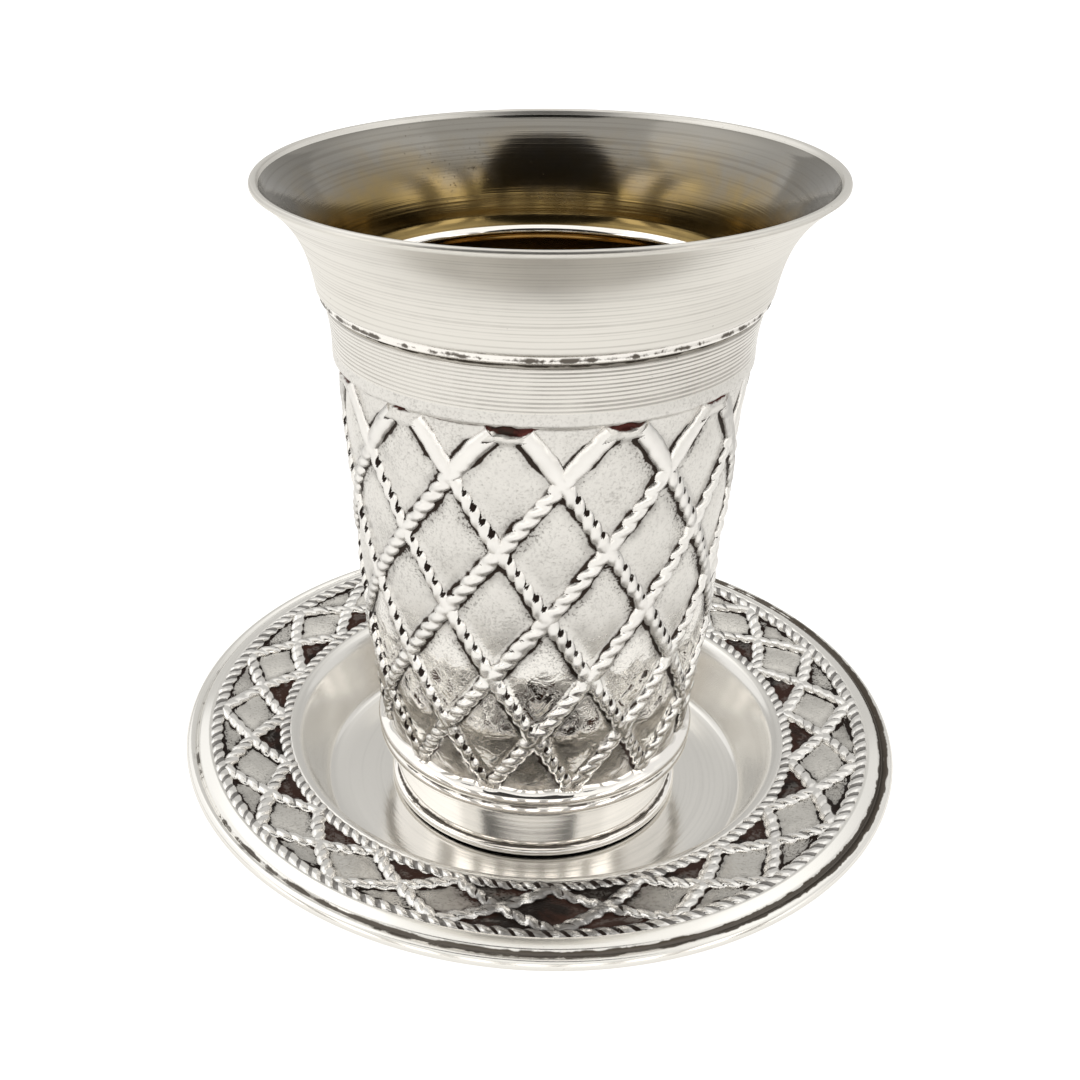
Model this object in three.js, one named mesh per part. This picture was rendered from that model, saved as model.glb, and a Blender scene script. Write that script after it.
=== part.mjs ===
import * as THREE from 'three';

// A kiddush cup standing in its saucer, both cast in silver and worked all round with a lattice of
// twisted wire. Millimetres, +Z up. The origin is the middle of the saucer's flat underside.

// ---------- Driving dimensions ----------

const TURN = 2 * Math.PI;

// Saucer
const SAUCER_RADIUS = 50;
const SHEET = 0.7; // thickness of the sheet, also the height of the well's floor
const FLOOR_RADIUS = 28.8;
const WALL_FOOT = { radius: 30.4, z: 1.8 }; // the well's steep wall, between its two bends
const WALL_HEAD = { radius: 33.3, z: 8.2 };
const WELL_EDGE = { radius: 34.9, z: 9.8 };
const FLOOR_BEND = { radius: 29.9, z: 1.05, underRadius: 30.6, underZ: 0.5 }; // floor to wall
const SHOULDER_BEND = { radius: 33.8, z: 9.1, underZ: 8 }; // wall to border
const BORDER_THICKNESS = 1.3; // from the crest of the wires to the underside

const INNER_RING_RADIUS = 35.9; // twisted wire rings either side of the saucer's lattice
const OUTER_RING_RADIUS = 45.7;
const INNER_RING_Z = 10.1;
const OUTER_RING_Z = 11.8;
const RING_WIDTH = 1.5;
const MARGIN = { innerRadius: 46.6, outerRadius: 48.2, drop: 0.5 }; // smooth edge outside the rings
const RIM_BEAD_RADIUS = 0.8;
const RIM_BEAD_Z = 10.3;
const RIM_UNDERCUT = { radius: 48.24, z: 10.1 }; // where the border's underside meets the bead
const MARGIN_SINK = 0.3; // the margin lies this much under the line of the crests

const SAUCER_LATTICE = {
  around: 20,
  rows: 2,
  start: (4 / 360) * TURN,
  lean: 0,
  strandEdge: 0.11, // half a strand's width, as a share of the gap between strands
  edgeDepth: 0.62, // how far the panel lies under the strands, beside a strand and at its middle
  middleDepth: 0.5,
  outerRadius: 45.1,
  innerRadius: 36.4,
};

// Cup
const FOOT_Z = SHEET + 0.3; // the foot stands clear of the well's floor by a hair
const FOOT = {
  boreRadius: 18.4, // the hollow underneath
  hollowZ: 8.4,
  beadRadius: 20.7, // the small bead that the cup stands on
  beadHigh: 2.0,
  bandLowRadius: 19.75, // the plain band, from its crease up to the double ledge
  bandHighRadius: 20.9,
  bandHigh: 8.7,
};
const LEDGE = { lowBead: 0.9, highBead: 0.95, lowOut: 0.5, highOut: 0.6 }; // beads over the band
const LEDGE_Z = 12.1; // top of the upper bead, where the lattice starts
const FLOOR_Z = 9.8; // inside
const FLOOR_FILLET = { radius: 19, z: 10.4, flatRadius: 17.4 }; // inside, floor to wall
const LATTICE_Z = { low: 12.5, high: 68.7, squeezeAbove: 63, top: 67.6 };
const LATTICE_RADIUS = 26.5; // at its top
const TAPER = 0.066; // loss of radius for each millimetre down
const CURL_Z = 30; // below this the wall draws in more quickly
const CURL = 0.0042;
const CUP_WALL = 1.5; // crest of the wires to the smooth inside

const CUP_LATTICE = {
  around: 12,
  rows: 6,
  start: (14.2 / 360) * TURN,
  lean: (8.5 / 360) * TURN, // the whole pattern drifts round by this much towards the top
  strandEdge: 0.075,
  edgeDepth: 0.7,
  middleDepth: 0.42,
};
const SCALLOP_Z = 65.2; // above this the full diamonds run out into the smooth band

const BAND = { lowRadius: 26.4, highRadius: 27.3, lowZ: 68.4, highZ: 74.1 };
const GROOVE = { radius: 26.85, z: 74.45 };
const FLARE = { lowRadius: 28.3, lowZ: 76, slope: 2.4, curl: 4.9, highZ: 89 };
const LIP_Z = 89.6;
const LIP_WALL = 1.0;
const LIP_ROUNDING = 0.35;
const STEP_RADIUS = 25.9; // the ridge inside, level with the groove

// Counts of sides
const CUP_SIDES = 48;
const CUP_INNER_SIDES = 32;
const SAUCER_SIDES = 60;
const UNDERSIDE_SIDES = 36;

// ---------- Skin ----------

/** One closed skin, grown ring by ring from the pole below to the pole above. */
class Skin {
  constructor() {
    this.points = [];
    this.faces = [];
  }

  vertex(angle, radius, z) {
    this.points.push(radius * Math.cos(angle), radius * Math.sin(angle), z);
    return { angle, index: this.points.length / 3 - 1 };
  }

  pole(z) {
    return [this.vertex(0, 0, z)];
  }

  ring(sides, radius, z) {
    return Array.from({ length: sides }, (_, i) => this.vertex((i / sides) * TURN, radius, z));
  }

  /** Joins a ring to the one that follows it, in order of angle, whatever their counts. */
  join(ring, next) {
    const stepsOf = (loop) => (loop.length > 1 ? loop.length : 0);
    const at = (loop, i) => loop[i % loop.length].index;
    const angleAt = (loop, i) => loop[i % loop.length].angle + TURN * Math.floor(i / loop.length);
    let i = 0;
    let j = 0;
    while (i < stepsOf(ring) || j < stepsOf(next)) {
      const nextIsDone = j === stepsOf(next);
      const ringIsNearer = i < stepsOf(ring) && angleAt(ring, i + 1) <= angleAt(next, j + 1);
      if (nextIsDone || ringIsNearer) {
        this.faces.push(at(ring, i), at(ring, i + 1), at(next, j));
        i += 1;
      } else {
        this.faces.push(at(ring, i), at(next, j + 1), at(next, j));
        j += 1;
      }
    }
  }

  /** Carries the skin on through level rings at [radius, z] points and returns the last one. */
  follow(from, sides, outline) {
    return outline.reduce((last, [radius, z]) => {
      const next = this.ring(sides, radius, z);
      this.join(last, next);
      return next;
    }, from);
  }

  mesh(name, material) {
    const geometry = new THREE.BufferGeometry();
    geometry.setAttribute('position', new THREE.Float32BufferAttribute(this.points, 3));
    geometry.setIndex(this.faces);
    geometry.computeVertexNormals();
    const mesh = new THREE.Mesh(geometry, material);
    mesh.name = name;
    return mesh;
  }
}

/** Values of `at` at even steps from one number to another, both ends included. */
function along(count, from, to, at) {
  return Array.from({ length: count }, (_, i) => at(THREE.MathUtils.lerp(from, to, i / (count - 1))));
}

/** [radius, z] points of an arc of a section, from one angle to another in degrees. */
function arc(radius, z, size, fromDegrees, toDegrees, count) {
  return along(count, fromDegrees, toDegrees, (degrees) => {
    const turn = THREE.MathUtils.degToRad(degrees);
    return [radius + size * Math.cos(turn), z + size * Math.sin(turn)];
  });
}

// ---------- Lattice ----------

/**
 * Lays a lattice of crossing strands. `u` and `v` number the strands that lean one way and the
 * other, so a strand's crest is where either is whole. Half their sum runs around the piece and
 * half their difference runs across the rows. Each gap between strands has grid lines at its
 * strand, at both foot lines and in the middle. `place` gives [radius, z] for a grid point.
 */
function layLattice(skin, { around, rows, start, lean, strandEdge }, place) {
  const lines = [0, strandEdge, 0.5, 1 - strandEdge];
  const valueOf = (n) => Math.floor(n / lines.length) + lines[n % lines.length];
  const columnCount = around * lines.length;
  const stepCount = rows * lines.length;
  const columns = Array.from({ length: columnCount }, (_, q) => (
    Array.from({ length: stepCount + 1 }, (__, step) => {
      const u = valueOf(q + step);
      const v = valueOf(q);
      const [radius, z] = place(u, v);
      const angle = start + ((u + v) / 2 / around) * TURN + ((u - v) / rows) * lean;
      return skin.vertex(angle, radius, z);
    })
  ));
  columns.forEach((column, q) => {
    const nextColumn = columns[(q + 1) % columnCount];
    column.forEach((corner, step) => {
      const across = nextColumn[step];
      if (step < stepCount) skin.faces.push(corner.index, across.index, column[step + 1].index);
      if (step > 0) skin.faces.push(corner.index, nextColumn[step - 1].index, across.index);
    });
  });
  return {
    first: boundary(columns.map((column) => column[0])),
    last: boundary(columns.map((column) => column[stepCount])),
  };
}

/** A lattice's end ring, in order of angle from zero. */
function boundary(vertices) {
  return vertices
    .map(({ angle, index }) => ({ angle: angle % TURN, index }))
    .sort((a, b) => a.angle - b.angle);
}

/** Depth of a lattice's grid point under the crest of the strands. */
function panelDepth({ edgeDepth, middleDepth }, u, v) {
  const offStrand = Math.min(Math.abs(u - Math.round(u)), Math.abs(v - Math.round(v)));
  const isCrest = offStrand < 0.01;
  const isMiddle = offStrand > 0.49;
  if (isCrest) return 0;
  return isMiddle ? middleDepth : edgeDepth;
}

// ---------- Saucer ----------

/** Height of the crests of the saucer's sloping border. */
function borderCrest(radius) {
  const share = (radius - INNER_RING_RADIUS) / (OUTER_RING_RADIUS - INNER_RING_RADIUS);
  return THREE.MathUtils.lerp(INNER_RING_Z, OUTER_RING_Z, share);
}

function saucerUnderside() {
  const wallAngle = Math.atan2(WALL_HEAD.z - WALL_FOOT.z, WALL_HEAD.radius - WALL_FOOT.radius);
  const wallOffset = SHEET / Math.sin(wallAngle);
  const border = (radius) => [radius, borderCrest(radius) - BORDER_THICKNESS];
  return [
    [FLOOR_RADIUS, 0],
    [FLOOR_BEND.underRadius, FLOOR_BEND.underZ],
    [WALL_FOOT.radius + wallOffset, WALL_FOOT.z],
    [WALL_HEAD.radius + wallOffset, SHOULDER_BEND.underZ],
    border(INNER_RING_RADIUS),
    border(MARGIN.innerRadius),
    [RIM_UNDERCUT.radius, RIM_UNDERCUT.z],
  ];
}

function saucerRim() {
  const marginZ = borderCrest(MARGIN.innerRadius) - MARGIN_SINK;
  return [
    ...arc(SAUCER_RADIUS - RIM_BEAD_RADIUS, RIM_BEAD_Z, RIM_BEAD_RADIUS, -120, 120, 7),
    [MARGIN.outerRadius, marginZ - MARGIN.drop],
    [MARGIN.innerRadius, marginZ],
  ];
}

/** The rounded crest of a twisted wire ring, from its outer flank inwards. */
function ringCrest(radius) {
  const z = borderCrest(radius);
  return [[radius + 0.3 * RING_WIDTH, z], [radius - 0.1 * RING_WIDTH, z]];
}

function wellWall() {
  return [
    [WELL_EDGE.radius, WELL_EDGE.z],
    [SHOULDER_BEND.radius, SHOULDER_BEND.z],
    [WALL_HEAD.radius, WALL_HEAD.z],
    [WALL_FOOT.radius, WALL_FOOT.z],
    [FLOOR_BEND.radius, FLOOR_BEND.z],
    [FLOOR_RADIUS, SHEET],
  ];
}

function placeOnSaucer(u, v) {
  const { rows, outerRadius, innerRadius } = SAUCER_LATTICE;
  const radius = THREE.MathUtils.lerp(outerRadius, innerRadius, (u - v) / rows);
  return [radius, borderCrest(radius) - panelDepth(SAUCER_LATTICE, u, v)];
}

function makeSaucer() {
  const skin = new Skin();
  const underside = skin.follow(skin.pole(0), UNDERSIDE_SIDES, saucerUnderside());
  const rim = skin.follow(underside, SAUCER_SIDES, saucerRim());
  const outerRing = skin.follow(rim, SAUCER_SIDES, ringCrest(OUTER_RING_RADIUS));
  const lattice = layLattice(skin, SAUCER_LATTICE, placeOnSaucer);
  skin.join(outerRing, lattice.first);
  const innerRing = skin.follow(lattice.last, SAUCER_SIDES, ringCrest(INNER_RING_RADIUS));
  const well = skin.follow(innerRing, UNDERSIDE_SIDES, wellWall());
  skin.join(well, skin.pole(SHEET));
  return skin.mesh('saucer', new THREE.MeshStandardMaterial({
    color: 0xd2cfc8,
    metalness: 1,
    roughness: 0.34,
  }));
}

// ---------- Cup ----------

/** Radius of the crests of the cup's lattice, a straight taper that curls in near the foot. */
function bodyRadius(z) {
  const curl = CURL * Math.max(0, CURL_Z - z) ** 2;
  return LATTICE_RADIUS - TAPER * (LATTICE_Z.high - z) - curl;
}

function flareRadius(z) {
  const share = (z - FLARE.lowZ) / (FLARE.highZ - FLARE.lowZ);
  return FLARE.lowRadius + FLARE.slope * share + FLARE.curl * share ** 3;
}

function bandRadius(z) {
  const share = (z - BAND.lowZ) / (BAND.highZ - BAND.lowZ);
  return THREE.MathUtils.lerp(BAND.lowRadius, BAND.highRadius, share ** 2);
}

function footHollow() {
  return [
    [FOOT.boreRadius + 0.6, FOOT.hollowZ],
    [FOOT.boreRadius, FOOT_Z + 0.4],
    [FOOT.boreRadius + 0.4, FOOT_Z],
  ];
}

function footOutside() {
  const beadSize = (FOOT.beadHigh - FOOT_Z) / 2;
  return [
    ...arc(FOOT.beadRadius - beadSize, FOOT_Z + beadSize, beadSize, -90, 60, 4),
    [FOOT.bandLowRadius, FOOT.beadHigh + 0.1],
    [FOOT.bandHighRadius, FOOT.bandHigh],
    ...arc(FOOT.bandHighRadius + LEDGE.lowOut, FOOT.bandHigh + 1.05, LEDGE.lowBead, -60, 60, 4),
    ...arc(FOOT.bandHighRadius + LEDGE.highOut, LEDGE_Z - 0.65, LEDGE.highBead, -30, 45, 3),
  ];
}

function bandAndFlare() {
  return [
    ...along(3, BAND.lowZ, BAND.highZ, (z) => [bandRadius(z), z]),
    [GROOVE.radius, GROOVE.z],
    [FLARE.lowRadius - 0.6, GROOVE.z + 0.4],
    ...along(6, FLARE.lowZ, FLARE.highZ, (z) => [flareRadius(z), z]),
    [flareRadius(FLARE.highZ) - LIP_ROUNDING, LIP_Z],
    [flareRadius(FLARE.highZ) - LIP_ROUNDING - 0.5 * LIP_WALL, LIP_Z - 0.05],
  ];
}

function inside() {
  return [
    ...along(4, FLARE.highZ - 0.6, FLARE.lowZ, (z) => [flareRadius(z) - LIP_WALL, z]),
    [STEP_RADIUS, GROOVE.z + 0.2],
    [STEP_RADIUS, GROOVE.z - 0.5],
    [bandRadius(BAND.highZ) - LIP_WALL, BAND.highZ - 0.9],
    ...along(5, LATTICE_Z.high, LEDGE_Z + 1.5, (z) => [bodyRadius(z) - CUP_WALL, z]),
    [FLOOR_FILLET.radius, FLOOR_FILLET.z],
    [FLOOR_FILLET.flatRadius, FLOOR_Z],
  ];
}

/**
 * Radius and height of a point of the cup's lattice. The top row is squeezed under the band: its
 * full diamonds run out into the band, and the half diamonds between them stay sunk up to it.
 */
function placeOnCup(u, v) {
  const { rows } = CUP_LATTICE;
  const evenZ = THREE.MathUtils.lerp(LATTICE_Z.low, LATTICE_Z.high, (u - v) / rows);
  const squeeze = (LATTICE_Z.top - LATTICE_Z.squeezeAbove) / (LATTICE_Z.high - LATTICE_Z.squeezeAbove);
  const z = evenZ - (1 - squeeze) * Math.max(0, evenZ - LATTICE_Z.squeezeAbove);
  const isHalfDiamond = Math.floor(u) - Math.floor(v) === rows;
  const isScallop = z > SCALLOP_Z && !isHalfDiamond;
  return [bodyRadius(z) - (isScallop ? 0 : panelDepth(CUP_LATTICE, u, v)), z];
}

function makeCup() {
  const skin = new Skin();
  const hollow = skin.follow(skin.pole(FOOT.hollowZ), CUP_INNER_SIDES, footHollow());
  const foot = skin.follow(hollow, CUP_SIDES, footOutside());
  const lattice = layLattice(skin, CUP_LATTICE, placeOnCup);
  skin.join(foot, lattice.first);
  const lip = skin.follow(lattice.last, CUP_SIDES, bandAndFlare());
  const floor = skin.follow(lip, CUP_INNER_SIDES, inside());
  skin.join(floor, skin.pole(FLOOR_Z));
  return skin.mesh('cup', new THREE.MeshStandardMaterial({
    color: 0xdedbd5,
    metalness: 1,
    roughness: 0.22,
  }));
}

// ---------- Assembly ----------

const kiddushCup = new THREE.Group();
kiddushCup.add(makeSaucer(), makeCup());

export default kiddushCup;
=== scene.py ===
"""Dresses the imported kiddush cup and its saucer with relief, twisted wire and worn silver."""

from __future__ import annotations

import logging
import math
from collections.abc import Sequence
from dataclasses import dataclass, field
from enum import Enum

import bpy
import numpy as np
from bpy.types import Material, Mesh, Node, NodeSocket, NodeTree, Object
from mathutils import Matrix, Vector

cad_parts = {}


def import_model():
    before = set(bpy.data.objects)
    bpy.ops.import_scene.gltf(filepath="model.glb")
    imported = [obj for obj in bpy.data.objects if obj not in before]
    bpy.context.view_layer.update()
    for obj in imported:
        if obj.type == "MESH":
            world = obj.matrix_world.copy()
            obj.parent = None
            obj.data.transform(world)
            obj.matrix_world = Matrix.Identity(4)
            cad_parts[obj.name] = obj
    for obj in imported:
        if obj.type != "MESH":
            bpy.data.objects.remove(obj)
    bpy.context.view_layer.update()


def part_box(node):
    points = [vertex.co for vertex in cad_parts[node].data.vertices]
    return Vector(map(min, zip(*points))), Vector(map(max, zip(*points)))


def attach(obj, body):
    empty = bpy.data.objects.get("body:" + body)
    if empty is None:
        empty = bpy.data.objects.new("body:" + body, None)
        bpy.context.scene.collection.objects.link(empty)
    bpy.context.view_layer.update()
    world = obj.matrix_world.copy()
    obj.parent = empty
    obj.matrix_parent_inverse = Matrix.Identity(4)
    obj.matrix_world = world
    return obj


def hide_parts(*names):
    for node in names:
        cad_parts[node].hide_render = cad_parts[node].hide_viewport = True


LOG = logging.getLogger("kiddush_cup")

MM = 0.001
TURN = 2 * math.pi
HAIR = 1e-6  # Keeps a sum off a limit
BODY = "root"

Colour = tuple[float, float, float, float]
Range = tuple[float, float]
OutlinePoint = tuple[float, float]
Crease = tuple[float, float, float, float]
Spread = float | np.ndarray

WHITE: Colour = (1, 1, 1, 1)


# ---------- Choices ----------


class Mark(Enum):
    """Names of the attributes that the pieces carry for their finishes."""

    RECESS = "recess"  # How near the wire above lies, from 0 to 1
    LEDGE = "ledge"  # How near the wire below lies, from 0 to 1
    STAIN = "stain"  # How dark the place is made, from 0 to 1: tarnish, with painted dark reflection at the saucer's front and painted shade on one side of its rim groove
    POCKET = "pocket"  # How far inside a pocket under the band it lies, 0.5 at the edge; dark there with stain, painted shadow and painted reflection
    VALLEY = "valley"  # How dark the wire is made between its plies, from 0 to 1
    MELTED = "melted"  # How far the plies have run together, from 0 to 1
    TWIST = "twist"  # How far the wire has turned, in radians
    OUTWARD = "outward"  # Direction away from the surface under the wire
    LEE = "lee"  # How far the darkening between the plies keeps to the wire's upper flank, from 0 to 1


BODY_MARKS = (Mark.RECESS, Mark.LEDGE, Mark.STAIN, Mark.POCKET)


class Zone(Enum):
    """Parts of the cup's body, in the order of its material slots."""

    PANELS = 0
    TURNED = 1
    FOOT = 2
    LINING = 3
    BAND = 4


class SaucerZone(Enum):
    """Parts of the saucer's body, in the order of its material slots."""

    UNDERSIDE = 0
    RIM = 1
    PANELS = 2
    WELL = 3


# ---------- Numbers ----------


def smooth_step(low: float, high: float, value: np.ndarray) -> np.ndarray:
    """Eased share of the way from one number to another.

    Args:
        low: Value where the share is 0.
        high: Value where the share is 1.
        value: Values to place between them.

    Returns:
        The eased shares, from 0 to 1.
    """
    share = np.clip((value - low) / (high - low), 0, 1)
    return share * share * (3 - 2 * share)


def straight(start: OutlinePoint, end: OutlinePoint, steps: int) -> list[OutlinePoint]:
    """Points of a straight stretch of a section in equal steps, without its start."""
    (a, b), (c, d) = start, end
    return [(a + (c - a) * s, b + (d - b) * s) for s in np.linspace(0, 1, steps + 1)[1:]]


def arc(
    centre: OutlinePoint, size: float, start: float, end: float, count: int
) -> list[OutlinePoint]:
    """Points of a round stretch of a section, with its angles in degrees from straight outwards."""
    turns = np.radians(np.linspace(start, end, count))
    return [(centre[0] + size * math.cos(t), centre[1] + size * math.sin(t)) for t in turns]


def around(radius: Spread, angles: np.ndarray, z: Spread) -> np.ndarray:
    """Points round the upright axis as rows of x, y and z, one for each angle in radians."""
    level = np.broadcast_to(z, len(angles))
    return np.stack([radius * np.cos(angles), radius * np.sin(angles), level], axis=1)


# ---------- Meshes ----------


def store(mesh: Mesh, mark: Mark, values: np.ndarray) -> None:
    """Stores a number or a row of three for each point of a mesh as an attribute."""
    kind, member = ("FLOAT", "value") if values.ndim == 1 else ("FLOAT_VECTOR", "vector")
    layer = mesh.attributes.new(mark.value, kind, "POINT")
    layer.data.foreach_set(member, values.astype(np.float32).ravel())


def piece_from(mesh: Mesh, finishes: Sequence[Material]) -> Object:
    """Puts a mesh in the scene under its own name, with a material for each of its slots."""
    piece = bpy.data.objects.new(mesh.name, mesh)
    bpy.context.scene.collection.objects.link(piece)
    for finish in finishes:
        mesh.materials.append(finish)
    return piece


def face_outwards(mesh: Mesh) -> None:
    """Turns a closed mesh's faces round if its volume comes out negative."""
    mesh.calc_loop_triangles()
    points = np.empty(len(mesh.vertices) * 3, dtype=np.float32)
    mesh.vertices.foreach_get("co", points)
    corners = np.empty(len(mesh.loop_triangles) * 3, dtype=np.int32)
    mesh.loop_triangles.foreach_get("vertices", corners)
    a, b, c = points.reshape(-1, 3)[corners].reshape(-1, 3, 3).transpose(1, 0, 2).astype(float)
    if np.einsum("ij,ij->i", a, np.cross(b, c)).sum() < 0:
        mesh.flip_normals()


@dataclass
class Skin:
    """A closed skin of rings that all have the same number of points, from pole to pole."""

    low_pole: float  # Height of the point that closes the first ring, in millimetres
    high_pole: float  # Height of the point that closes the last ring
    angles: np.ndarray  # Angle of each column where the rings now being added stand
    # Radius, height, reach and strength of each place that holds tarnish
    creases: Sequence[Crease] = ()
    uneven: Spread = 1.0  # How strong the creases' tarnish is in each column, with painted shade added towards one side of the saucer
    rings: list[np.ndarray] = field(default_factory=list)  # Points of the rings so far
    zones: list[int] = field(default_factory=list)  # Slot number of the faces that follow each ring
    # Values of each attribute, ring by ring
    marks: dict[Mark, list[np.ndarray]] = field(
        default_factory=lambda: {mark: [] for mark in BODY_MARKS}
    )

    def ring(self, radius: Spread, z: Spread, zone: Enum, **marks: Spread) -> None:
        """Adds a ring.

        Args:
            radius: Its radius, the same all round or for each column.
            z: Its height.
            zone: Which part of the body follows it.
            **marks: Values of its attributes, which are 0 where they are left out.
        """
        self.rings.append(around(radius, self.angles, z))
        self.zones.append(zone.value)
        for mark, values in self.marks.items():
            values.append(np.broadcast_to(marks.get(mark.value, 0.0), len(self.angles)))

    def follow(self, outline: Sequence[OutlinePoint], zone: Enum) -> None:
        """Adds a level ring for each point of an outline, stained where it passes a crease.

        Args:
            outline: Radius and height of each ring.
            zone: Which part of the body follows them.
        """
        for radius, z in outline:
            nearness = [
                strength * math.exp(-(((radius - x) ** 2 + (z - y) ** 2) / reach**2))
                for x, y, reach, strength in self.creases
            ]
            self.ring(radius, z, zone, stain=max(nearness, default=0.0) * self.uneven)

    def mesh(self, name: str) -> Mesh:
        """Closes both poles and makes the mesh, in metres.

        Args:
            name: The mesh's name.

        Returns:
            The mesh, smooth and facing outwards.
        """
        columns, count = len(self.angles), len(self.rings)
        poles = np.array([[0, 0, self.low_pole], [0, 0, self.high_pole]])
        points = np.concatenate([*self.rings, poles]) * MM
        here = np.arange(count * columns).reshape(count, columns)
        after = np.roll(here, -1, axis=1)
        low, high = (np.full(columns, here.size + pole) for pole in (0, 1))
        rows = np.stack([here[:-1], after[:-1], after[1:], here[1:]], axis=-1)
        faces = [
            *np.stack([low, after[0], here[0]], axis=1).tolist(),
            *rows.reshape(-1, 4).tolist(),
            *np.stack([here[-1], after[-1], high], axis=1).tolist(),
        ]
        slots = np.repeat(np.array([self.zones[0], *self.zones], dtype=np.int32), columns)

        mesh = bpy.data.meshes.new(name)
        mesh.from_pydata(points.tolist(), [], faces)
        mesh.polygons.foreach_set("use_smooth", np.ones(len(faces), dtype=bool))
        mesh.polygons.foreach_set("material_index", slots)
        for mark, values in self.marks.items():
            store(mesh, mark, np.append(np.concatenate(values), [0, 0]))
        mesh.update()
        return mesh


# ---------- Lattice ----------


@dataclass(frozen=True)
class Lattice:
    """A lattice of crossing strands laid round a piece.

    Strands that lean one way have whole values of u and those that lean the other way have whole
    values of v. Half their sum runs around the piece, and their difference across the rows.
    """

    around: int  # Diamonds in a turn
    rows: int  # Rows of crossings from one edge to the other
    start: float  # Angle where the first strands start, in degrees
    lean: float  # How far the pattern drifts round over its rows, in degrees
    lines: int  # Grid lines in each gap between strands
    edge_depth: float  # Depth of the panels beside a strand, in millimetres under the wires' crests
    middle_depth: float  # Depth of the panels at their middle
    skirt: float  # Half a wire's width, as a share of the gap between strands
    ridge: float  # How far the sheet rises under a wire, in millimetres
    halo: float = 0.2  # Distance over which tarnish and painted shade fade away from a wire, as a share of the gap
    ledges: Range = (1.0, 1.0)  # How much tarnish and painted shade lie above the strands of each lean
    dome: Range = (0.04, 0.42)  # Where a panel's dome starts and is full, as shares of the gap
    # Where the ridge under a wire starts to fall and ends, as shares of the skirt
    slope: Range = (0.3, 1.5)

    def angle(self, u: np.ndarray, v: np.ndarray) -> np.ndarray:
        """Angle round the piece of a place on the lattice, in radians."""
        turned = (u + v) / 2 / self.around * TURN
        return math.radians(self.start) + turned + self.across(u, v) * math.radians(self.lean)

    def across(self, u: np.ndarray, v: np.ndarray) -> np.ndarray:
        """Share of the way across the rows."""
        return (u - v) / self.rows

    def columns(self) -> np.ndarray:
        """Value of v for each column of the grid."""
        return np.arange(self.around * self.lines) / self.lines

    def steps(self) -> list[tuple[np.ndarray, np.ndarray]]:
        """Values of u and v for each ring of the grid, from the first edge to the last."""
        v = self.columns()
        return [(v + step / self.lines, v) for step in range(self.rows * self.lines + 1)]

    def depth(self, u: np.ndarray, v: np.ndarray) -> np.ndarray:
        """Depth under the crests: panels domed towards their middles, with a skirt at each wire."""
        off_first, off_second = np.abs(u - np.round(u)), np.abs(v - np.round(v))
        domed = smooth_step(*self.dome, off_first) * smooth_step(*self.dome, off_second)
        panel = self.edge_depth + (self.middle_depth - self.edge_depth) * domed
        start, end = (self.skirt * share for share in self.slope)
        return panel - self.ridge * (1 - smooth_step(start, end, np.minimum(off_first, off_second)))

    def cell(self, u: np.ndarray, v: np.ndarray) -> np.ndarray:
        """Which row of diamonds a place is in. The first and the last are half diamonds."""
        return np.floor(u + HAIR) - np.floor(v + HAIR)

    def nearness(self, distance: np.ndarray) -> np.ndarray:
        """How near a place lies to a strand: 1 at its edge, 0 where its tarnish and painted shade
        end.
        """
        return np.clip(1 - (distance - self.skirt) / self.halo, 0, 1)

    def recess(self, u: np.ndarray, v: np.ndarray) -> np.ndarray:
        """How near a place lies to the strand above it."""
        return self.nearness(np.minimum(np.ceil(u) - u, v - np.floor(v)))

    def ledge(self, u: np.ndarray, v: np.ndarray) -> np.ndarray:
        """How near a place lies to the strand below it."""
        over_first = self.ledges[0] * self.nearness(u - np.floor(u))
        over_second = self.ledges[1] * self.nearness(np.ceil(v) - v)
        return np.maximum(over_first, over_second)

    def strands(self, samples: int) -> list[tuple[np.ndarray, np.ndarray]]:
        """Values of u and v along every strand, with so many samples from crossing to crossing."""
        travelled = np.arange(self.rows * samples + 1) / samples
        starts = [np.full_like(travelled, k) for k in range(self.around)]
        return [(k, k - travelled) for k in starts] + [(k + travelled, k) for k in starts]


# ---------- Node trees ----------


class Wired:
    """A node's output that sums can be written with, each of which adds a Math node."""

    def __init__(self, bench: TreeBench, socket: NodeSocket) -> None:
        """Keeps the bench and the output."""
        self.bench = bench
        self.socket = socket

    def __getitem__(self, name: str | int) -> Wired:
        """Another output of the same node."""
        return Wired(self.bench, self.socket.node.outputs[name])

    def __add__(self, other: object) -> Wired:
        """Adds a value."""
        return self.bench.math("ADD", self, other)

    def __sub__(self, other: object) -> Wired:
        """Takes a value away."""
        return self.bench.math("SUBTRACT", self, other)

    def __rsub__(self, other: object) -> Wired:
        """Takes this away from a value."""
        return self.bench.math("SUBTRACT", other, self)

    def __mul__(self, other: object) -> Wired:
        """Multiplies by a value."""
        return self.bench.math("MULTIPLY", self, other)

    def __truediv__(self, other: object) -> Wired:
        """Divides by a value."""
        return self.bench.math("DIVIDE", self, other)


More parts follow.
